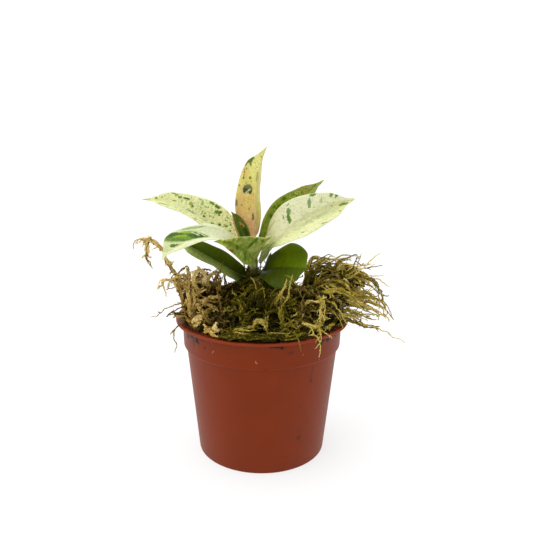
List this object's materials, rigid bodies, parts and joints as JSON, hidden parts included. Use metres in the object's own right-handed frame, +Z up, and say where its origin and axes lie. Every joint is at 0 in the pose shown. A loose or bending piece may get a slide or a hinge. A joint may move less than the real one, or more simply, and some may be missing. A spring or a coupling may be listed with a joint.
{
  "type": "potted plant",
  "caption": "Young rubber plant with variegated leaves in a round flanged nursery pot, with potting mix and a mound of stringy moss.",
  "frame": {"origin": "middle of the pot's flat underside, on the surface it stands on", "axes": "+Z up along the pot's axis, -Y towards the side the plant is looked at from, +X to its right"},
  "size_m": [0.1385, 0.1006, 0.1594],
  "materials": {
    "pot": "terracotta brown moulded plastic, low sheen, lightly soiled",
    "soil": "damp dark potting mix with white grains",
    "stem": "smooth green brown bark",
    "leaf_upper_left": "waxy cream leaf with green specks",
    "leaf_lower_left": "waxy cream leaf with green marbling",
    "leaf_upright": "waxy yellow leaf, pink towards its foot, with dark green patches",
    "leaf_back_right": "waxy olive leaf with dark specks",
    "leaf_right": "waxy cream leaf with grey green patches",
    "leaf_low_left": "glossy dark green leaf with a pale rib",
    "leaf_low_right": "glossy green leaf",
    "leaf_bud": "young green leaf with pink edges",
    "leaf_front": "marbled green leaf with a scorched edge",
    "moss_left": "dry stringy tan moss",
    "moss_front": "dark olive stringy moss",
    "moss_right": "yellow green stringy moss",
    "moss_back": "brown green stringy moss"
  },
  "bodies": {
    "root": {"pot": "pot", "soil": "soil", "stem": "stem", "leaf_upper_left": "leaf_upper_left", "leaf_lower_left": "leaf_lower_left", "leaf_upright": "leaf_upright", "leaf_back_right": "leaf_back_right", "leaf_right": "leaf_right", "leaf_low_left": "leaf_low_left", "leaf_low_right": "leaf_low_right", "leaf_bud": "leaf_bud", "leaf_front": "leaf_front", "moss_left": "moss_left", "moss_front": "moss_front", "moss_right": "moss_right", "moss_back": "moss_back"}
  },
  "joints": []
}
